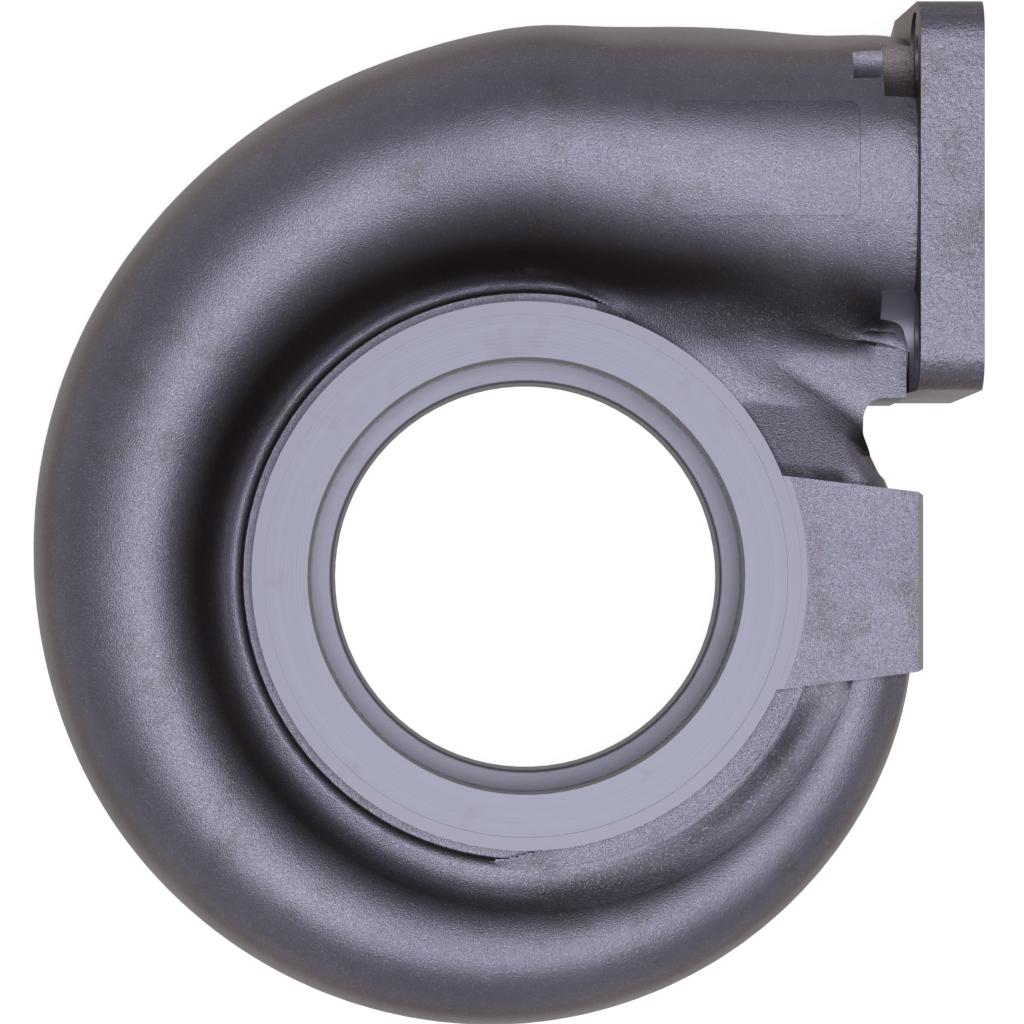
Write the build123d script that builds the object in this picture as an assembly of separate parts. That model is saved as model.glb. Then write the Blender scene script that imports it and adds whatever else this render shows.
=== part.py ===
"""Divided turbine housing of a turbocharger, made as one iron casting. Lengths are in millimetres.

Frame: the turbine axis is Z, the outlet face lies on Z = 0 and the bearing side points up.
The gas inlet flange faces +X and its centre lies towards +Y. Seen from above, the gas runs
anticlockwise through two passages that lie side by side along Z and shrink towards the tongue.
"""
import math
import os

from build123d import *

# Heights along the turbine axis
MID_Z = 66.0
SEAT_Z = 100.0
MAIN_FACE_DROP = 0.8

# Bearing side: machined ring, clamp groove under it and cast bead round the groove
PILOT_R = 53.0
RIM_INNER_R = 63.3
RING_R = 66.5
RING_EDGE = 3.0
GROOVE_R = RING_R - 4.0
GROOVE_TOP_Z = 92.6
GROOVE_FLOOR_Z = 84.5
BEAD_INNER_R = RING_R + 2.6
BEAD_R = RING_R + 8.8
BEAD_TOP_Z = 89.0
BEAD_ROUND = 2.9

# Wheel space and outlet
BORE_R = 48.2
SHROUD_ROUND = 1.0
THROAT_HALF = 10.0
THROAT_OUTER_R = 64.0
DIFFUSER_START_Z = 26.0
OUTLET_R = 51.0
OUTLET_REGISTER = 5.0
OUTLET_RING_R = 66.5
OUTLET_RING_EDGE = 3.0
OUTLET_CONE_Z = 8.0
COLLAR_R = 60.5

# Scroll: how far the outer edge lies beyond the ring, by angle from +X, read from the picture
SCROLL_REACH = (
    (90.0, 68.6),
    (105.0, 64.7),
    (120.0, 62.2),
    (150.0, 58.2),
    (180.0, 54.5),
    (210.0, 51.9),
    (240.0, 48.1),
    (270.0, 43.7),
    (300.0, 38.7),
    (330.0, 33.9),
    (358.0, 28.5),
)
TAIL_REACH = (
    (358.0, 28.5),
    (372.0, 25.5),
    (388.0, 21.0),
    (402.0, 14.5),
)
CREST_SHARE = ((90.0, 0.46), (180.0, 0.38), (240.0, 0.45), (402.0, 0.47))
SCROLL_INNER_EDGE = BEAD_R + 1.2
SCROLL_SPREAD = 0.95
SCROLL_DRAFT = 0.085
VALLEY_HEIGHT = 16.5
VALLEY_RUN = 3.0
TAIL_HEIGHT = 22.4
TAIL_START = 295.0
TAIL_END = 350.0
TAIL_CREST = 23.6
HIDDEN_EDGE = 57.0
HIDDEN_ROUND = 3.0

# Walls of the casting
WALL = 5.5
DIVIDER_HALF = 3.2

# Inlet flange
FLANGE_X = 108.8
FLANGE_THICK = 15.2
FLANGE_DRAFT = 2.4
FLANGE_LONG = 124.0
FLANGE_SHORT = 93.0
FLANGE_Y = 90.8
FLANGE_ROUND = 9.5
BOLT_LONG = 94.0
BOLT_SHORT = 67.0
BOLT_R = 5.5
SPOT_R = 11.0
SPOT_DEPTH = 8.0

# Inlet duct at the flange
DUCT_TOP = 131.0
DUCT_CREST = 97.0
DUCT_HALF_UP = 31.0
DUCT_HALF_DOWN = 39.0
DUCT_CREST_HEIGHT = 55.5
DUCT_LEDGE_HEIGHT = 32.0
DUCT_FOOT_HEIGHT = 36.5
DUCT_BOTTOM = 46.5
DUCT_RISE = 25.0
DUCT_SAG = 12.0
DUCT_BULGE = 2.2

# Web under the duct: lower edge by distance along the duct, and its heights above the parting plane
WEB_EDGE = ((30.0, 60.0), (44.0, 54.0), (58.0, 45.5), (74.0, 35.5), (92.0, 24.0))
WEB_HIGH = 33.0
WEB_ROUND = 7.0
WEB_LAP = 13.0

# Ports in the flange
PORT_SHORT = 57.0
PORT_HEIGHT = 43.5
PORT_CROWN = 16.0
PORT_SAG = 14.0

# Pad beside the ring and the web under the duct
PAD_Z = 99.2
PAD_LOW_Z = 42.0
PAD_RIGHT = 94.9
PAD_TOP_LEFT = 24.9
PAD_TOP_RIGHT = 20.4
PAD_BOTTOM_RIGHT = -23.2
PAD_BOTTOM_LEFT = -28.0
PAD_DRAFT = 5.0
CRESCENT_R = RING_R + 1.8
CRESCENT_DROP = 1.7
NOTCH_CORNERS = ((81.6, 43.1), (81.6, 34.5), (86.4, 24.3), (96.0, 19.9))
NOTCH_ROUND = 5.0

# Shallow cast recess on the duct
RECESS_X = 57.5
RECESS_Y = 99.8
RECESS_LENGTH = 44.2
RECESS_WIDTH = 27.5
RECESS_ROUND = 2.8
RECESS_DEPTH = 1.0


def between(start, end, share):
    return start + (end - start) * share


def smooth(share):
    share = min(1.0, max(0.0, share))
    return share * share * (3.0 - 2.0 * share)


def looked_up(table, at):
    for (low, low_value), (high, high_value) in zip(table, table[1:]):
        if at <= high:
            return between(low_value, high_value, (at - low) / (high - low))
    return table[-1][1]


def radial(angle):
    """Place points of a section that stands on the turbine axis at an angle from +X."""
    turn = math.radians(angle)
    return lambda across, height: (across * math.cos(turn), across * math.sin(turn), MID_Z + height)


def crosswise(x):
    """Place points of a section that stands across the inlet duct."""
    return lambda across, height: (x, across, MID_Z + height)


def scroll_station(angle):
    outer = RING_R + looked_up(SCROLL_REACH + TAIL_REACH[1:], angle)
    width = outer - SCROLL_INNER_EDGE
    tube = width / (2.0 + SCROLL_DRAFT)
    tail = smooth((angle - TAIL_START) / (TAIL_END - TAIL_START))
    low = between(VALLEY_HEIGHT, TAIL_HEIGHT, tail)
    half_in = width * looked_up(CREST_SHARE, angle)
    return {
        "place": radial(angle),
        "inner": HIDDEN_EDGE,
        "corner": HIDDEN_ROUND,
        "ledge": low,
        "valley": SCROLL_INNER_EDGE - VALLEY_RUN,
        "low": low,
        "crest": SCROLL_INNER_EDGE + half_in,
        "centre": max(SCROLL_SPREAD * tube, TAIL_CREST - tube),
        "half_in": half_in,
        "half_out": width - half_in - SCROLL_DRAFT * tube,
        "rise": tube,
        "outer": outer,
    }


def duct_station(x):
    start = scroll_station(SCROLL_REACH[0][0])
    share = x / (FLANGE_X - FLANGE_THICK)
    eased = smooth(share)
    return {
        "place": crosswise(x),
        "inner": between(HIDDEN_EDGE, DUCT_BOTTOM, share) - DUCT_SAG * math.sin(math.pi * share) ** 2,
        "corner": between(HIDDEN_ROUND, 2.5 * HIDDEN_ROUND, eased),
        "ledge": between(start["ledge"], DUCT_LEDGE_HEIGHT, smooth(share * 1.4)),
        "valley": between(start["valley"], DUCT_CREST - DUCT_HALF_DOWN - VALLEY_RUN - 1.5, share),
        "low": between(start["low"], DUCT_FOOT_HEIGHT, smooth(share * 1.5)),
        "crest": between(start["crest"], DUCT_CREST, share),
        "centre": between(start["centre"], DUCT_CREST_HEIGHT - DUCT_RISE, eased),
        "half_in": between(start["half_in"], DUCT_HALF_DOWN, eased),
        "half_out": between(start["half_out"], DUCT_HALF_UP, eased),
        "rise": between(start["rise"], DUCT_RISE, eased),
        "outer": between(start["outer"], DUCT_TOP, share) + DUCT_BULGE * math.sin(math.pi * share),
    }


def skin_points(station):
    """Outer skin of one section, from the hub over the crest to the parting plane."""
    inner = station["inner"]
    corner = station["corner"]
    ledge = station["ledge"]
    points = [
        (inner, ledge - corner),
        (inner + 0.3 * corner, ledge - 0.3 * corner),
        (inner + corner, ledge),
        (station["valley"], station["low"]),
    ]
    climb = (station["low"] + 3.5 - station["centre"]) / station["rise"]
    first = 180.0 - math.degrees(math.asin(min(0.8, max(0.2, climb))))
    sweep = [first, between(first, 90.0, 0.36), between(first, 90.0, 0.7), 90.0, 62.0, 34.0, 8.0]
    for degrees in sweep:
        turn = math.radians(degrees)
        half = station["half_in"] if degrees > 90.0 else station["half_out"]
        points.append(
            (station["crest"] + half * math.cos(turn), station["centre"] + station["rise"] * math.sin(turn))
        )
    points.append((station["outer"], 0.0))
    return points


def spacing(points):
    """Share of the whole length at which each point of a curve lies."""
    run = [0.0]
    for start, end in zip(points, points[1:]):
        run.append(run[-1] + math.dist(start, end))
    return [length / run[-1] for length in run]


def skin_wire(station, shares):
    half = skin_points(station)
    whole = half + [(across, -height) for across, height in reversed(half[:-1])]
    placed = [station["place"](across, height) for across, height in whole]
    curve = Edge.make_spline([Vector(*point) for point in placed], parameters=shares)
    return Wire([curve, Edge.make_line(placed[-1], placed[0])])


def passage_points(station):
    """One gas passage: up from the divider on the inner side, over the top and down again."""
    wall = station["wall"]
    points = [
        (station["floor"], DIVIDER_HALF),
        (station["floor"] - 0.2, between(DIVIDER_HALF, station["mouth"], 0.5)),
        (station["floor"] + 1.0, station["mouth"]),
        (station["throat"], station["roof"]),
    ]
    for degrees in (station["first"], 130.0, 90.0, 52.0, 16.0):
        turn = math.radians(degrees)
        half = (station["half_in"] if degrees > 90.0 else station["half_out"]) - wall
        rise = station["rise"] - wall
        points.append((station["crest"] + half * math.cos(turn), station["centre"] + rise * math.sin(turn)))
    side = station["outer"] - wall - 0.6
    points.append((side, 0.35 * station["centre"] + DIVIDER_HALF))
    points.append((side - 1.2, DIVIDER_HALF))
    return points


def scroll_passage(angle):
    station = scroll_station(angle)
    tube = station["rise"]
    station["wall"] = min(WALL, 0.5 * tube)
    station["floor"] = THROAT_OUTER_R - 2.0
    station["mouth"] = THROAT_HALF - 1.0
    station["first"] = 192.0
    station["throat"] = between(THROAT_OUTER_R, SCROLL_INNER_EDGE, 0.75)
    station["centre"] = SCROLL_SPREAD * tube
    station["roof"] = min(THROAT_HALF + 1.0, station["centre"] + 0.25 * (tube - station["wall"]))
    return station


def duct_passage(x):
    start = scroll_passage(SCROLL_REACH[0][0])
    share = min(1.0, x / (FLANGE_X - FLANGE_THICK))
    eased = smooth(share)
    port_low = FLANGE_Y - 0.5 * PORT_SHORT
    dip = PORT_SAG * math.sin(math.pi * share) ** 2
    return {
        "place": crosswise(x),
        "wall": 0.0,
        "first": between(start["first"], 168.0, eased),
        "floor": between(start["floor"], port_low, share) - dip,
        "mouth": between(start["mouth"], PORT_HEIGHT - PORT_CROWN, eased),
        "throat": between(start["throat"], port_low + 4.5, share) - 0.5 * dip,
        "roof": between(start["roof"], PORT_HEIGHT - 6.5, eased ** 1.3),
        "crest": between(start["crest"], FLANGE_Y, share),
        "centre": between(start["centre"], PORT_HEIGHT - PORT_CROWN, eased),
        "half_in": between(start["half_in"] - WALL, 0.5 * PORT_SHORT - 4.0, eased),
        "half_out": between(start["half_out"] - WALL, 0.5 * PORT_SHORT, eased),
        "rise": between(start["rise"] - WALL, PORT_CROWN, eased),
        "outer": between(start["outer"] - WALL, FLANGE_Y + 0.5 * PORT_SHORT + 1.6, share),
    }


def passage_wire(station, side, shares):
    placed = [station["place"](across, side * height) for across, height in passage_points(station)]
    curve = Edge.make_spline([Vector(*point) for point in placed], parameters=shares)
    return Wire([curve, Edge.make_line(placed[-1], placed[0])])


def turned(points):
    """Solid of revolution about the turbine axis from radius and height pairs."""
    face = make_face(Polyline(*[(radius, 0, height) for radius, height in points], close=True))
    return revolve(face, Axis.Z, 360)


def upright(x, y, radius, low, high):
    return Pos(x, y, 0.5 * (low + high)) * Cylinder(radius, high - low)


def rounded(body, radius, corners):
    """Round the turned edges that lie at these pairs of radius and height."""
    rings = [
        edge
        for edge in body.edges().filter_by(GeomType.CIRCLE)
        if any(abs(edge.radius - at) < 0.01 and abs(edge.center().Z - height) < 0.01 for at, height in corners)
    ]
    return fillet(rings, radius)


def hub():
    body = turned(
        [
            (0, 0),
            (OUTLET_RING_R, 0),
            (OUTLET_RING_R, OUTLET_RING_EDGE),
            (COLLAR_R, OUTLET_CONE_Z),
            (COLLAR_R, MID_Z),
            (BEAD_R, MID_Z),
            (BEAD_R, BEAD_TOP_Z),
            (BEAD_INNER_R, BEAD_TOP_Z),
            (BEAD_INNER_R, GROOVE_FLOOR_Z),
            (GROOVE_R, GROOVE_FLOOR_Z),
            (GROOVE_R, GROOVE_TOP_Z),
            (RING_R, SEAT_Z - RING_EDGE),
            (RING_R, SEAT_Z),
            (0, SEAT_Z),
        ]
    )
    return rounded(body, BEAD_ROUND, ((BEAD_R, BEAD_TOP_Z), (BEAD_INNER_R, BEAD_TOP_Z)))


def wheel_space():
    """Everything that is turned out of the middle, from the outlet up to the bearing seat."""
    shroud = MID_Z - THROAT_HALF
    arc = []
    for step in range(5):
        turn = math.radians(90.0 * step / 4)
        arc.append(
            (BORE_R + SHROUD_ROUND * (1 - math.cos(turn)), shroud - SHROUD_ROUND * (1 - math.sin(turn)))
        )
    pilot_top = SEAT_Z - MAIN_FACE_DROP
    return turned(
        [(0, -1), (OUTLET_R, -1), (OUTLET_R, OUTLET_REGISTER), (BORE_R, DIFFUSER_START_Z)]
        + arc
        + [
            (PILOT_R, shroud),
            (PILOT_R, pilot_top),
            (RIM_INNER_R, pilot_top),
            (RIM_INNER_R, SEAT_Z + 1),
            (0, SEAT_Z + 1),
        ]
    )


def throat():
    low = MID_Z - THROAT_HALF
    high = MID_Z + THROAT_HALF
    return turned([(PILOT_R - 2, low), (THROAT_OUTER_R, low), (THROAT_OUTER_R, high), (PILOT_R - 2, high)])


def flange_plate():
    """Plate with drafted back: thickest at the parting plane, rounded at its four corners."""
    back = FLANGE_X - FLANGE_THICK
    side = Polyline(
        (FLANGE_X, 0, MID_Z - 0.5 * FLANGE_LONG),
        (FLANGE_X, 0, MID_Z + 0.5 * FLANGE_LONG),
        (back, 0, MID_Z + 0.5 * FLANGE_LONG),
        (back - FLANGE_DRAFT, 0, MID_Z),
        (back, 0, MID_Z - 0.5 * FLANGE_LONG),
        close=True,
    )
    plate = extrude(make_face(side), 0.5 * FLANGE_SHORT, (0, 1, 0), both=True)
    depth = FLANGE_THICK + FLANGE_DRAFT
    block = Pos(FLANGE_X - 0.5 * depth, 0, MID_Z) * Box(depth, FLANGE_SHORT, FLANGE_LONG)
    return Pos(0, FLANGE_Y, 0) * (plate & fillet(block.edges().filter_by(Axis.X), FLANGE_ROUND))


def pad():
    def outline(height, out):
        return Polyline(
            (HIDDEN_EDGE, PAD_TOP_LEFT, height),
            (PAD_RIGHT + out, PAD_TOP_RIGHT, height),
            (PAD_RIGHT + out, PAD_BOTTOM_RIGHT, height),
            (HIDDEN_EDGE, PAD_BOTTOM_LEFT, height),
            close=True,
        )

    spread = math.tan(math.radians(PAD_DRAFT)) * (PAD_Z - PAD_LOW_Z)
    return Solid.make_loft([Wire(outline(PAD_LOW_Z, spread).edges()), Wire(outline(PAD_Z, 0.0).edges())], True)


def crescent():
    """Where the facing tool of the ring ran into the pad."""
    low = SEAT_Z - CRESCENT_DROP
    return turned([(RING_R, low), (CRESCENT_R, low), (CRESCENT_R, SEAT_Z + 1), (RING_R, SEAT_Z + 1)])


def web_wire(x, edge):
    """Section of the web: from inside the duct, over the ledge to the lower edge, and back below."""
    place = crosswise(x)
    inside = duct_station(x)["valley"] + WEB_LAP
    share = smooth((x - WEB_EDGE[0][0]) / (WEB_EDGE[3][0] - WEB_EDGE[0][0]))
    high = between(duct_station(x)["low"] - 1.0, WEB_HIGH, share)
    half = [
        (inside, high + 1.5),
        (between(inside, edge + WEB_ROUND, 0.6), high),
        (edge + 0.55 * WEB_ROUND, high - 0.35 * WEB_ROUND),
        (edge + 0.12 * WEB_ROUND, high - 1.2 * WEB_ROUND),
        (edge, 0.4 * high),
        (edge, 0.0),
    ]
    whole = half + [(across, -height) for across, height in reversed(half[:-1])]
    placed = [place(across, height) for across, height in whole]
    return Wire([Edge.make_spline([Vector(*point) for point in placed]), Edge.make_line(placed[-1], placed[0])])


def web():
    return Solid.make_loft([web_wire(x, edge) for x, edge in WEB_EDGE])


def notch():
    """Rounded gap between the pad and the flange, right through along the turbine axis."""
    far = FLANGE_X + 10.0
    first = NOTCH_CORNERS[0]
    last = NOTCH_CORNERS[-1]
    outline = FilletPolyline(*NOTCH_CORNERS, (far, last[1]), (far, first[1]), radius=NOTCH_ROUND, close=True)
    return extrude(make_face(outline), 2 * MID_Z)


def recess(skin):
    """Shallow pocket that follows the crest of the duct."""
    middle = duct_station(RECESS_X)
    top = MID_Z + middle["centre"] + middle["rise"]
    block = Pos(RECESS_X, RECESS_Y, top) * Box(RECESS_LENGTH, RECESS_WIDTH, 20)
    block = fillet(block.edges().filter_by(Axis.Z), RECESS_ROUND)
    return block - Pos(0, 0, -RECESS_DEPTH) * skin


def build():
    angles = [angle for angle, reach in reversed(SCROLL_REACH)]
    tail_angles = [angle for angle, reach in TAIL_REACH]
    back = FLANGE_X - FLANGE_THICK
    duct_steps = [0.19 * back, 0.38 * back, 0.59 * back, 0.79 * back]
    model = skin_points(scroll_station(180.0))
    model = model + [(across, -height) for across, height in reversed(model[:-1])]
    skin_shares = spacing(model)
    stations = [scroll_station(angle) for angle in angles]
    stations += [duct_station(x) for x in duct_steps + [back + 1.0]]
    skin = Solid.make_loft([skin_wire(station, skin_shares) for station in stations])
    tail = Solid.make_loft([skin_wire(scroll_station(angle), skin_shares) for angle in tail_angles])

    # One spacing for all sections of a passage, halfway between the scroll's and the duct's own
    ends = zip(spacing(passage_points(scroll_passage(180.0))), spacing(passage_points(duct_passage(0.5 * back))))
    passage_shares = [between(scroll_share, duct_share, 0.5) for scroll_share, duct_share in ends]
    passages = []
    for side in (1, -1):
        rooms = [scroll_passage(angle) for angle in tail_angles[2:0:-1] + angles]
        rooms += [duct_passage(x) for x in duct_steps + [back, FLANGE_X + 1.0]]
        passages.append(Solid.make_loft([passage_wire(room, side, passage_shares) for room in rooms]))

    gap = notch()
    body = hub() + skin + (tail - gap) + (web() - gap) + pad() + flange_plate()
    cuts = [wheel_space(), throat(), crescent(), recess(skin)] + passages
    for y_side in (-1, 1):
        for z_side in (-1, 1):
            y = FLANGE_Y + 0.5 * y_side * BOLT_SHORT
            z = MID_Z + 0.5 * z_side * BOLT_LONG
            cuts.append(Pos(FLANGE_X, y, z) * Rot(0, 90, 0) * Cylinder(BOLT_R, 4 * FLANGE_THICK))
            cuts.append(Pos(back - 0.5 * SPOT_DEPTH, y, z) * Rot(0, 90, 0) * Cylinder(SPOT_R, SPOT_DEPTH))
    for cut in cuts:
        body = body - cut
    return body


housing = build()
os.makedirs("parts", exist_ok=True)
export_step(housing, "parts/turbine_housing.step")
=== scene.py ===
import math

import bpy
import numpy as np
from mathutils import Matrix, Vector
from mathutils.bvhtree import BVHTree


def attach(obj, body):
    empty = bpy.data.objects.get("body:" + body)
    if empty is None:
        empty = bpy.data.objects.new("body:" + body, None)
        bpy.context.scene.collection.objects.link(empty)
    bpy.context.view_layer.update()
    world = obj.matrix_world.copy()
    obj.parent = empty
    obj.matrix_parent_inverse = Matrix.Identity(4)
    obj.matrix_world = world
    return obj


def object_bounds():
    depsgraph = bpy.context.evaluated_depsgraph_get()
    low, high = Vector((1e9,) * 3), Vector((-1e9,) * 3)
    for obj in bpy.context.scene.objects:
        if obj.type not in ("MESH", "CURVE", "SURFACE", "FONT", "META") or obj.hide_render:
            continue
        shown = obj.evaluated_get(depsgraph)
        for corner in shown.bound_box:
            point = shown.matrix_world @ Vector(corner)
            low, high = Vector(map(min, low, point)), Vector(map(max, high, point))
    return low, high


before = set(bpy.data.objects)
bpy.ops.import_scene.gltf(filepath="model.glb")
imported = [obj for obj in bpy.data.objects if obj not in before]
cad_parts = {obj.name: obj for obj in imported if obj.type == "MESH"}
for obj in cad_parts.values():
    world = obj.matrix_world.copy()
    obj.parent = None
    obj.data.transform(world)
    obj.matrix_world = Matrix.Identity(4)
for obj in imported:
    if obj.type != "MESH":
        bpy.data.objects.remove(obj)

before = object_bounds()

# Main sizes of the casting, in metres
RING_R = 0.0665
CRESCENT_R = 0.0683
CRESCENT_Z = 0.0983
PILOT_R = 0.053
RIM_INNER_R = 0.0633
RING_LOW_Z = 0.0885
SEAT_Z = 0.100
OUTLET_RING_Z = 0.0082
FLANGE_X = 0.1088
FLANGE_BACK_X = 0.0936
FLANGE_Y = 0.0908
FLANGE_MID_Z = 0.066
BOLT_HALF_Y = 0.0335
BOLT_HALF_Z = 0.047
BOLT_R = 0.0055
SPOT_R = 0.011
SPOT_END_X = 0.0854

# Upper and lower edge of the pad, as two points each
PAD_TOP = ((0.057, 0.0249), (0.0949, 0.0204))
PAD_BOTTOM = ((0.057, -0.0280), (0.0949, -0.0232))
PAD_START_X = 0.055

# Foundry blends: the grid, the ball that is rolled over it, and where the skin begins and ends
BLEND_LOW = (-0.096, -0.092)
BLEND_HIGH = (0.096, 0.092)
BLEND_STEP = 0.0005
BLEND_BALL = 0.0068
BLEND_FADE = 0.009
BLEND_INNER_R = 0.0705
BLEND_RIM = 0.0025
BLEND_RIM_LEAST = 0.0001
BLEND_OUTER_R = 0.086
BLEND_WIDER = 0.034
BLEND_WIDER_RUN = 0.050
DUCT_LIMIT_X = 0.0855
DUCT_LIMIT_Y = 0.082
LOWEST_BLEND_Z = 0.07
ABOVE_ALL_Z = 0.2

# The groove round the ring, which runs out beside the pad
FILLED_GROOVE_R = 0.0655
BEAD_TOP_R = 0.0702
OPEN_TOP_X = 0.036
OPEN_LOW_X = 0.012
OPEN_RUN = 0.028

# The crease beside the pad
BLEND_SINK = 0.0008
BLEND_CREASE = 0.0035
CREASE_SHARE = 0.45

# The lower plane of the web
WEB_START_X = 0.044
WEB_FOOT_Z = 0.0893
WEB_SLOPE = 0.42
WEB_TOP_Z = 0.0965

# How far the skin lies under or over the casting, and how often its grids are averaged
SKIN_UNDER = 0.00006
SKIN_OVER = 0.00005
LEAST_LIFT = 0.00004
SHOWN_ABOVE = -0.00001
SKIN_TURNS = 60
EDGE_TURNS = 8
EDGE_LIMIT = 0.80
COVER_TURNS = 14

# Painted shade in the valley beside the ring and under the duct
SHADE_VALLEY_RADII = (0.0738, 0.0792)
SHADE_VALLEY_Y = -0.030
SHADE_DUCT_Y = (0.0565, 0.0680)
SHADE_DUCT_X = 0.040
SHADE_LOW_Z = 0.088

# Colours of the cast skin and of the machined metal, of the dirt on both, and of the shade and glints
# painted on them
CAST_GREYS = ((0.292, 0.282, 0.378), (0.340, 0.330, 0.428))
# Flank browns: painted shade for flanks that turn away from the lamp
FLANK_SHADE_BROWNS = ((0.098, 0.074, 0.074), (0.138, 0.108, 0.108))
STAIN_BROWN = (0.17, 0.125, 0.115)
# Black of the painted shade in the valleys and under the duct
PAINTED_SHADE_BLACK = (0.048, 0.042, 0.050)
# White of the painted glints
GLINT_WHITE = (0.52, 0.50, 0.58)
RUST_BROWNS = ((0.085, 0.050, 0.040), (0.17, 0.105, 0.085))
SPOT_BROWN = (0.21, 0.175, 0.17)
METAL_GREYS = ((0.315, 0.315, 0.400), (0.355, 0.355, 0.445))
METAL_STAIN = (0.25, 0.235, 0.285)
RIM_GREY = (0.33, 0.315, 0.385)
# Near black brown of the painted shade on the bore walls
BORE_WALL_SHADE = (0.045, 0.028, 0.026)

# Light and floor
FLOOR_SIZE = 8.0
FLOOR_GAP = 0.0002
FLOOR_GREY = 0.4
FLOOR_GLOW = 0.9
LAMP_PLACE = (0.07, -0.10, 1.9)
LAMP_TARGET = (0.0, 0.0, 0.1)
LAMP_SIZE = 0.6
LAMP_POWER = 19.0
WORLD_COLOUR = (0.92, 0.94, 1.0)
WORLD_STRENGTH = 0.03

# Camera: distance from the front edge of the flange, and the photograph's scale and optical centre
FRONT_Z = 0.128
CAMERA_DISTANCE = 1.5
METRES_PER_PIXEL = 0.0002375
FRAME_PIXELS = 1024
CENTRE_PIXEL = (500.0, 590.0)
AXIS_PIXEL = (526.4, 576.0)
SENSOR_WIDTH = 36.0


def make_material(name):
    material = bpy.data.materials.new(name)
    material.use_nodes = True
    material.node_tree.nodes.clear()
    return material


class Nodes:
    """Short ways to add and join shader nodes of one material."""

    def __init__(self, material):
        self.tree = material.node_tree

    def add(self, kind, **settings):
        node = self.tree.nodes.new(kind)
        for key, value in settings.items():
            setattr(node, key, value)
        return node

    def join(self, source, target):
        if hasattr(source, "outputs") or isinstance(source, bpy.types.NodeSocket):
            self.tree.links.new(source, target)
        else:
            target.default_value = source

    def math(self, operation, first, second=0.0, clamp=False):
        node = self.add("ShaderNodeMath", operation=operation, use_clamp=clamp)
        self.join(first, node.inputs[0])
        if len(node.inputs) > 1:
            self.join(second, node.inputs[1])
        return node.outputs[0]

    def step(self, value, edge, soft):
        """0 below the edge and 1 above it, with a soft change over the given width."""
        node = self.add("ShaderNodeMapRange", interpolation_type="SMOOTHSTEP")
        self.join(value, node.inputs["Value"])
        node.inputs["From Min"].default_value = edge - 0.5 * soft
        node.inputs["From Max"].default_value = edge + 0.5 * soft
        return node.outputs["Result"]

    def both(self, *masks):
        result = masks[0]
        for mask in masks[1:]:
            result = self.math("MULTIPLY", result, mask)
        return result

    def either(self, *masks):
        result = masks[0]
        for mask in masks[1:]:
            result = self.math("MAXIMUM", result, mask)
        return result

    def outside(self, mask):
        return self.math("SUBTRACT", 1.0, mask)

    def noise(self, vector, scale, detail=4.0, roughness=0.55):
        node = self.add("ShaderNodeTexNoise")
        self.join(vector, node.inputs["Vector"])
        node.inputs["Scale"].default_value = scale
        node.inputs["Detail"].default_value = detail
        node.inputs["Roughness"].default_value = roughness
        return node.outputs["Fac"]

    def spread(self, value, low, high, to_low, to_high):
        node = self.add("ShaderNodeMapRange")
        self.join(value, node.inputs["Value"])
        node.inputs["From Min"].default_value = low
        node.inputs["From Max"].default_value = high
        node.inputs["To Min"].default_value = to_low
        node.inputs["To Max"].default_value = to_high
        return node.outputs["Result"]

    def mix(self, share, first, second):
        node = self.add("ShaderNodeMix", data_type="RGBA")
        self.join(share, node.inputs[0])
        for colour, socket in ((first, node.inputs[6]), (second, node.inputs[7])):
            if isinstance(colour, tuple):
                socket.default_value = (*colour, 1.0)
            else:
                self.join(colour, socket)
        return node.outputs[2]

    def bump(self, height, distance, strength, below=None):
        node = self.add("ShaderNodeBump")
        self.join(height, node.inputs["Height"])
        node.inputs["Distance"].default_value = distance
        self.join(strength, node.inputs["Strength"])
        if below is not None:
            self.join(below, node.inputs["Normal"])
        return node.outputs["Normal"]


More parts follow.
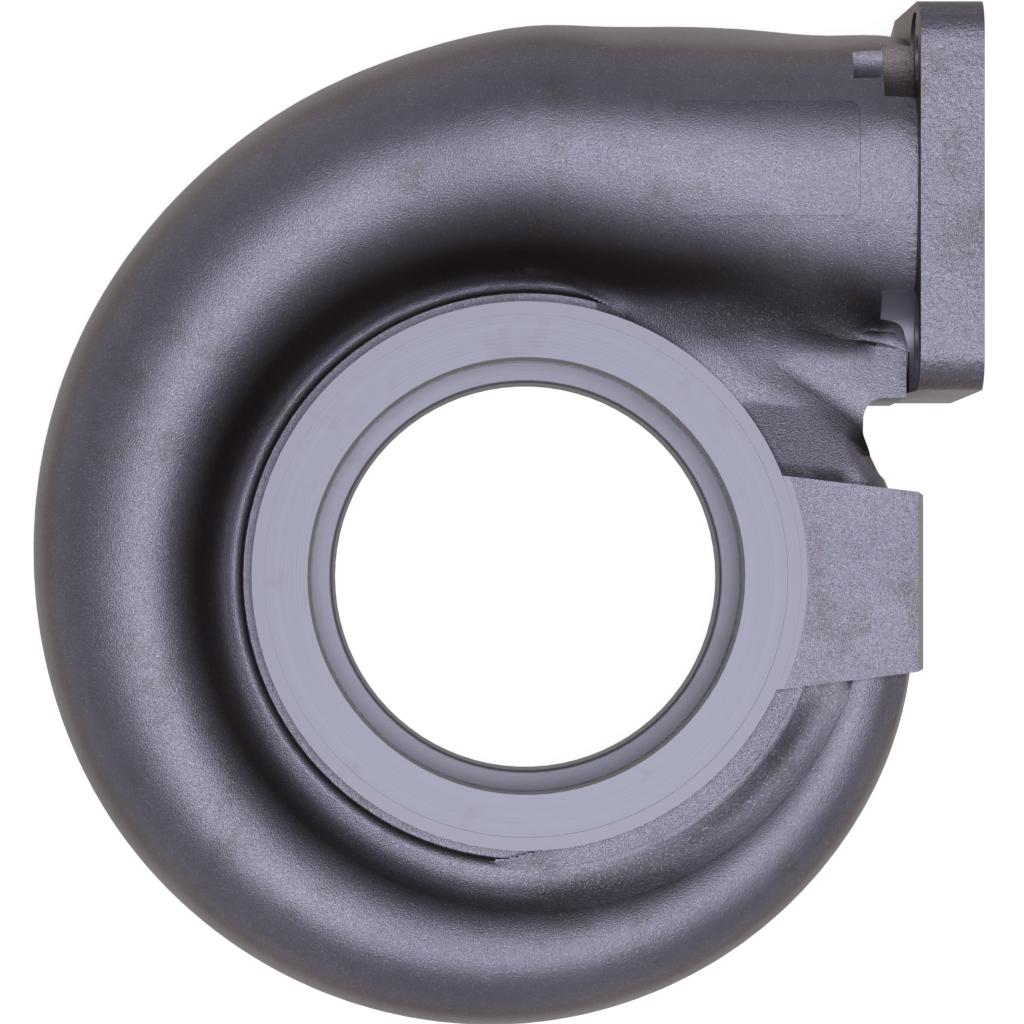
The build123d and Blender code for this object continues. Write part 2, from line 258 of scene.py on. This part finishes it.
def casting_material():
    """Sand cast iron with turned and milled faces, told apart by place."""
    material = make_material("cast_iron_housing")
    n = Nodes(material)
    place = n.add("ShaderNodeTexCoord").outputs["Object"]
    axes = n.add("ShaderNodeSeparateXYZ")
    n.join(place, axes.inputs[0])
    x, y, z = axes.outputs
    facing = n.add("ShaderNodeSeparateXYZ")
    n.join(n.add("ShaderNodeNewGeometry").outputs["Normal"], facing.inputs[0])
    radius = n.math("SQRT", n.math("ADD", n.math("MULTIPLY", x, x), n.math("MULTIPLY", y, y)))

    # Turned faces round the axis
    hair = 0.00006
    ring = n.either(
        n.both(n.outside(n.step(radius, RING_R + 0.0001, hair)), n.step(z, RING_LOW_Z + 0.0006, hair)),
        n.both(n.outside(n.step(radius, CRESCENT_R + 0.0001, hair)), n.step(z, CRESCENT_Z - 0.0006, hair)),
    )
    bores = n.outside(n.step(radius, PILOT_R + 0.0002, hair))
    outlet = n.both(
        n.outside(n.step(radius, RING_R + 0.0004, hair)),
        n.outside(n.step(z, OUTLET_RING_Z, hair)),
    )
    turned = n.either(ring, bores, outlet)

    # Milled flange face, bolt holes and spot faces
    face = n.step(x, FLANGE_X - 0.0002, hair)
    off_y = n.math("SUBTRACT", n.math("ABSOLUTE", n.math("SUBTRACT", y, FLANGE_Y)), BOLT_HALF_Y)
    off_z = n.math("SUBTRACT", n.math("ABSOLUTE", n.math("SUBTRACT", z, FLANGE_MID_Z)), BOLT_HALF_Z)
    off = n.math("SQRT", n.math("ADD", n.math("MULTIPLY", off_y, off_y), n.math("MULTIPLY", off_z, off_z)))
    spot = n.both(
        n.outside(n.step(off, SPOT_R + 0.0001, hair)),
        n.step(x, SPOT_END_X, hair),
        n.outside(n.step(x, FLANGE_BACK_X + 0.0003, hair)),
    )
    hole = n.both(n.outside(n.step(off, BOLT_R + 0.0002, hair)), n.step(x, SPOT_END_X, hair))
    far_side = n.step(y, FLANGE_Y, 0.004)
    milled = n.either(face, n.both(spot, n.outside(far_side)), hole)
    machined = n.either(turned, milled)

    # How far each part of the surface is turned towards the open side and the lamp, how worn or stained it
    # is, and where the painted glints go
    up = n.step(facing.outputs[2], 0.72, 0.56)
    patches = n.noise(place, 22.0, 3.0)
    stains = n.noise(place, 60.0, 5.0, 0.65)
    grain = n.noise(place, 2300.0, 2.0, 0.6)
    fine = n.noise(place, 4400.0, 1.0, 0.6)
    painted_glints = n.step(n.noise(place, 1500.0, 2.0, 0.7), 0.62, 0.12)

    # Cast skin: lavender grey where it faces up, and a darker painted shade of brown on its flanks, where
    # they turn away from the lamp
    patch_share = n.spread(patches, 0.35, 0.65, 0.0, 1.0)
    grey = n.mix(patch_share, *CAST_GREYS)
    flank_shade = n.mix(patch_share, *FLANK_SHADE_BROWNS)
    skin = n.mix(up, flank_shade, grey)
    skin = n.mix(n.math("MULTIPLY", n.step(stains, 0.60, 0.16), 0.35), skin, STAIN_BROWN)

    # Painted shade in the valleys and under the duct, and painted glints on the sand skin, strongest where
    # it faces up
    valley = n.both(
        n.step(radius, SHADE_VALLEY_RADII[0], 0.005),
        n.outside(n.step(radius, SHADE_VALLEY_RADII[1], 0.006)),
        n.outside(n.step(y, SHADE_VALLEY_Y, 0.020)),
        n.step(x, 0.0, 0.030),
    )
    under_duct = n.both(
        n.step(y, SHADE_DUCT_Y[0], 0.007),
        n.outside(n.step(y, SHADE_DUCT_Y[1], 0.010)),
        n.step(x, SHADE_DUCT_X, 0.030),
        n.outside(n.step(x, SPOT_END_X + 0.001, 0.003)),
        n.step(z, SHADE_LOW_Z, 0.004),
    )
    painted_shade = n.both(n.either(valley, under_duct), n.spread(patches, 0.3, 0.7, 0.55, 0.85))
    skin = n.mix(painted_shade, skin, PAINTED_SHADE_BLACK)
    glint_share = n.spread(up, 0.0, 1.0, 0.10, 0.5)
    skin = n.mix(n.math("MULTIPLY", painted_glints, glint_share), skin, GLINT_WHITE)

    # Rust on the back of the flange and on the spot faces of its far side
    plate = n.step(x, FLANGE_BACK_X - 0.0028, hair)
    plate_back = n.both(plate, n.outside(n.step(facing.outputs[0], -0.6, 0.2)))
    rust = n.mix(n.spread(grain, 0.3, 0.7, 0.0, 1.0), *RUST_BROWNS)
    skin = n.mix(n.math("MULTIPLY", plate_back, n.spread(far_side, 0.0, 1.0, 0.35, 0.95)), skin, rust)
    skin = n.mix(n.math("MULTIPLY", n.both(spot, far_side), 0.8), skin, SPOT_BROWN)

    # Turned and milled metal with fine rings of tool marks
    lines = n.noise(radius, 5200.0, 2.0)
    metal = n.mix(n.spread(lines, 0.35, 0.65, 0.0, 1.0), *METAL_GREYS)
    metal = n.mix(n.math("MULTIPLY", n.step(stains, 0.62, 0.14), 0.25), metal, METAL_STAIN)
    rim = n.both(n.step(radius, RIM_INNER_R - 0.0001, hair), ring)
    metal = n.mix(n.math("MULTIPLY", rim, 0.5), metal, RIM_GREY)
    # Painted shade: the steep walls of the bores darkened towards a near black brown
    shaded_bore_walls = n.both(bores, n.outside(n.step(facing.outputs[2], 0.5, 0.2)))
    metal = n.mix(n.math("MULTIPLY", shaded_bore_walls, 0.85), metal, BORE_WALL_SHADE)
    colour = n.mix(machined, skin, metal)

    # Relief
    stretch = n.add("ShaderNodeCombineXYZ")
    n.join(radius, stretch.inputs[0])
    n.join(z, stretch.inputs[1])
    groove_lines = n.noise(stretch.outputs[0], 3200.0, 1.0)
    cast_share = n.outside(machined)
    coarse = n.noise(place, 620.0, 2.0, 0.5)
    relief = n.bump(coarse, 0.00045, n.math("MULTIPLY", cast_share, n.spread(plate, 0.0, 1.0, 0.03, 0.6)))
    relief = n.bump(grain, 0.00024, n.math("MULTIPLY", cast_share, 0.6), relief)
    relief = n.bump(fine, 0.00015, n.math("MULTIPLY", cast_share, 0.6), relief)
    relief = n.bump(groove_lines, 0.00012, n.math("MULTIPLY", turned, 0.25), relief)

    shader = n.add("ShaderNodeBsdfPrincipled")
    n.join(colour, shader.inputs["Base Color"])
    shader.inputs["Metallic"].default_value = 0.85
    n.join(n.spread(machined, 0.0, 1.0, 0.50, 0.58), shader.inputs["Roughness"])
    n.join(relief, shader.inputs["Normal"])
    out = n.add("ShaderNodeOutputMaterial")
    n.join(shader.outputs[0], out.inputs["Surface"])
    return material


def floor_material():
    """White floor that still takes the object's soft shadow."""
    material = make_material("white_floor")
    n = Nodes(material)
    diffuse = n.add("ShaderNodeBsdfDiffuse")
    diffuse.inputs["Color"].default_value = (FLOOR_GREY, FLOOR_GREY, FLOOR_GREY, 1.0)
    glow = n.add("ShaderNodeEmission")
    rays = n.add("ShaderNodeLightPath")
    seen = n.either(
        rays.outputs["Is Camera Ray"],
        rays.outputs["Is Glossy Ray"],
        rays.outputs["Is Transmission Ray"],
    )
    n.join(n.math("MULTIPLY", seen, FLOOR_GLOW), glow.inputs["Strength"])
    total = n.add("ShaderNodeAddShader")
    n.join(diffuse.outputs[0], total.inputs[0])
    n.join(glow.outputs[0], total.inputs[1])
    out = n.add("ShaderNodeOutputMaterial")
    n.join(total.outputs[0], out.inputs["Surface"])
    return material


def shifted(heights, rows, columns, empty):
    """The same grid moved by whole cells, with an empty value where nothing moves in."""
    moved = np.full_like(heights, empty)
    height, width = heights.shape
    moved[max(0, rows):height + min(0, rows), max(0, columns):width + min(0, columns)] = heights[
        max(0, -rows):height - max(0, rows), max(0, -columns):width - max(0, columns)
    ]
    return moved


def rolled(heights, ball, step):
    """Lowest surface that a ball of this radius can touch from above, rolled over the whole grid."""
    reach = int(ball / step)
    cap = []
    for rows in range(-reach, reach + 1):
        for columns in range(-reach, reach + 1):
            off = (rows * rows + columns * columns) * step * step
            if off < ball * ball:
                cap.append((rows, columns, math.sqrt(ball * ball - off)))
    lifted = np.full_like(heights, -1.0)
    for rows, columns, rise in cap:
        lifted = np.maximum(lifted, shifted(heights, rows, columns, -1.0) + rise)
    lowered = np.full_like(heights, 1.0)
    for rows, columns, rise in cap:
        lowered = np.minimum(lowered, shifted(lifted, rows, columns, 1.0) - rise)
    return lowered


def averaged(values):
    """Each cell as the mean of itself and its four neighbours."""
    total = values.copy()
    for rows, columns in ((1, 0), (-1, 0), (0, 1), (0, -1)):
        moved = shifted(values, rows, columns, np.nan)
        total = total + np.where(np.isnan(moved), values, moved)
    return total / 5.0


def eased(share):
    """A share from 0 to 1 that starts and ends softly."""
    share = min(1.0, max(0.0, share))
    return share * share * (3.0 - 2.0 * share)


def line_height(line, x):
    """The y of a line through two points at this x."""
    (x0, y0), (x1, y1) = line
    return y0 + (y1 - y0) * (x - x0) / (x1 - x0)


def blend_share(x, y):
    """0 outside the blends, and 1 where they are whole."""
    open_to = OPEN_TOP_X if y > 0.0 else OPEN_LOW_X
    open_groove = eased((open_to - x) / OPEN_RUN)
    inner = FILLED_GROOVE_R + (BLEND_INNER_R - FILLED_GROOVE_R) * open_groove
    outer = BLEND_OUTER_R + BLEND_WIDER * eased(x / BLEND_WIDER_RUN)
    radius = math.hypot(x, y)
    if radius < inner:
        return 0.0
    share = min(1.0, (radius - inner) / (BLEND_RIM_LEAST + BLEND_RIM * open_groove))
    share = min(share, (outer - radius) / BLEND_FADE, (y - BLEND_LOW[1]) / BLEND_FADE)
    if y > 0.0:
        share = min(share, (DUCT_LIMIT_X - x) / BLEND_FADE)
    if x > 0.0:
        share = min(share, (DUCT_LIMIT_Y - y) / BLEND_FADE)
    if x > PAD_START_X:
        beside = max(y - line_height(PAD_TOP, x), line_height(PAD_BOTTOM, x) - y)
        if beside < -BLEND_SINK:
            return 0.0
        out_of_crease = min(1.0, max(0.0, beside) / BLEND_CREASE)
        share = min(share, CREASE_SHARE + (1.0 - CREASE_SHARE) * out_of_crease)
    return eased(share)


def outside_height(surface, x, y):
    """Height of the casting just outside the ring and the pad, for a point that may lie under them."""
    radius = math.hypot(x, y)
    if radius < BEAD_TOP_R:
        x = x * BEAD_TOP_R / radius
        y = y * BEAD_TOP_R / radius
    if x > PAD_START_X:
        if y < 0.0:
            y = min(y, line_height(PAD_BOTTOM, x) - BLEND_SINK)
        else:
            y = max(y, line_height(PAD_TOP, x) + BLEND_SINK)
    return cast_height(surface, x, y)


def cast_height(surface, x, y):
    """Height of the casting as seen from above, or None off its upper side."""
    hit = surface.ray_cast(Vector((x, y, ABOVE_ALL_Z)), Vector((0.0, 0.0, -1.0)))
    if hit[0] is None or hit[0].z < LOWEST_BLEND_Z:
        return None
    return hit[0].z


def web_plane(x, y):
    """The lower plane of the web, which climbs from the pad to the duct."""
    if x < WEB_START_X or y < 0.0:
        return 0.0
    return min(WEB_TOP_Z, WEB_FOOT_Z + WEB_SLOPE * (y - line_height(PAD_TOP, x)))


def blended_skin(name, surface):
    """A skin laid over the inner corners of the casting, as smooth as a foundry would leave them."""

    # Heights of the casting, carried on under the ring and pad (found), and as seen from above (bare)
    xs = np.arange(BLEND_LOW[0], BLEND_HIGH[0], BLEND_STEP)
    ys = np.arange(BLEND_LOW[1], BLEND_HIGH[1], BLEND_STEP)
    found = np.full((len(ys), len(xs)), -1.0)
    bare = np.full((len(ys), len(xs)), 1.0)
    target = np.full((len(ys), len(xs)), -1.0)
    share = np.zeros((len(ys), len(xs)))
    edge = np.ones((len(ys), len(xs)))
    for row, y in enumerate(ys):
        for column, x in enumerate(xs):
            share[row, column] = blend_share(x, y)
            if share[row, column] <= 0.0:
                continue
            height = outside_height(surface, x, y)
            if height is None:
                edge[row, column] = 0.0
            else:
                found[row, column] = height
                target[row, column] = max(height, web_plane(x, y))
                bare[row, column] = cast_height(surface, x, y) or 1.0

    # A ball rolled over the corners, and the result smoothed but never cut into the casting
    real = found > 0.0
    skin = np.maximum(rolled(target, BLEND_BALL, BLEND_STEP), target)
    for turn in range(SKIN_TURNS):
        skin = np.where(real, np.maximum(averaged(skin), target), skin)

    # The blends die out beside the casting's own outline, and lie just under it where they add nothing
    for turn in range(EDGE_TURNS):
        edge = np.minimum(edge, averaged(edge))
    share = share * np.clip((edge - EDGE_LIMIT) / (1.0 - EDGE_LIMIT), 0.0, 1.0)
    lift = (skin - found) * share
    cover = np.where(lift > LEAST_LIFT, 1.0, 0.0)
    for turn in range(COVER_TURNS):
        cover = averaged(cover)
    skin = found + lift - SKIN_UNDER + (SKIN_UNDER + SKIN_OVER) * cover

    # One face for each cell of the grid with a corner that shows above the casting
    numbers = -np.ones(found.shape, dtype=int)
    points = []
    faces = []
    shown = skin - bare > SHOWN_ABOVE
    for row in range(len(ys) - 1):
        for column in range(len(xs) - 1):
            corners = ((row, column), (row, column + 1), (row + 1, column + 1), (row + 1, column))
            if not all(real[corner] for corner in corners) or not any(shown[corner] for corner in corners):
                continue
            face = []
            for corner in corners:
                if numbers[corner] < 0:
                    numbers[corner] = len(points)
                    points.append((float(xs[corner[1]]), float(ys[corner[0]]), float(skin[corner])))
                face.append(int(numbers[corner]))
            faces.append(face)
    mesh = bpy.data.meshes.new(name)
    mesh.from_pydata(points, [], faces)
    mesh.shade_smooth()
    mesh.materials.append(casting)
    piece = bpy.data.objects.new(name, mesh)
    bpy.context.collection.objects.link(piece)
    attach(piece, "root")


# The casting and its blends
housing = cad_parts["turbine_housing"]
casting = casting_material()
housing.data.materials.clear()
housing.data.materials.append(casting)

surface = BVHTree.FromObject(housing, bpy.context.evaluated_depsgraph_get())
blended_skin("cast_blends", surface)

# Floor
bpy.ops.mesh.primitive_plane_add(size=FLOOR_SIZE, location=(0.0, 0.0, before[0][2] - FLOOR_GAP))
floor = bpy.context.object
floor.name = "floor"
floor.data.materials.append(floor_material())


def add_light(name, place, target, size, power):
    """A square lamp at a place, turned towards a target."""
    data = bpy.data.lights.new(name, "AREA")
    data.shape = "SQUARE"
    data.size = size
    data.energy = power
    lamp = bpy.data.objects.new(name, data)
    bpy.context.collection.objects.link(lamp)
    lamp.location = place
    aim = [there - here for here, there in zip(place, target)]
    flat = math.hypot(aim[0], aim[1])
    lamp.rotation_euler = (math.atan2(flat, -aim[2]), 0.0, math.atan2(-aim[0], aim[1]))


add_light("front_light", LAMP_PLACE, LAMP_TARGET, LAMP_SIZE, LAMP_POWER)

world = bpy.data.worlds.new("studio")
world.use_nodes = True
background = world.node_tree.nodes["Background"]
background.inputs["Color"].default_value = (*WORLD_COLOUR, 1.0)
background.inputs["Strength"].default_value = WORLD_STRENGTH
bpy.context.scene.world = world
bpy.context.scene.view_settings.view_transform = "Standard"

# Camera: straight above, at the photograph's scale and framing
height = FRONT_Z + CAMERA_DISTANCE
seat_scale = METRES_PER_PIXEL * (height - SEAT_Z) / CAMERA_DISTANCE
camera_data = bpy.data.cameras.new("camera")
camera_data.sensor_width = SENSOR_WIDTH
camera_data.lens = SENSOR_WIDTH * CAMERA_DISTANCE / (METRES_PER_PIXEL * FRAME_PIXELS)
camera_data.shift_x = (0.5 * FRAME_PIXELS - CENTRE_PIXEL[0]) / FRAME_PIXELS
camera_data.shift_y = (CENTRE_PIXEL[1] - 0.5 * FRAME_PIXELS) / FRAME_PIXELS
camera_data.clip_end = 50.0
camera = bpy.data.objects.new("camera", camera_data)
camera.location = (
    (CENTRE_PIXEL[0] - AXIS_PIXEL[0]) * seat_scale,
    (AXIS_PIXEL[1] - CENTRE_PIXEL[1]) * seat_scale,
    height,
)
bpy.context.collection.objects.link(camera)
bpy.context.scene.camera = camera
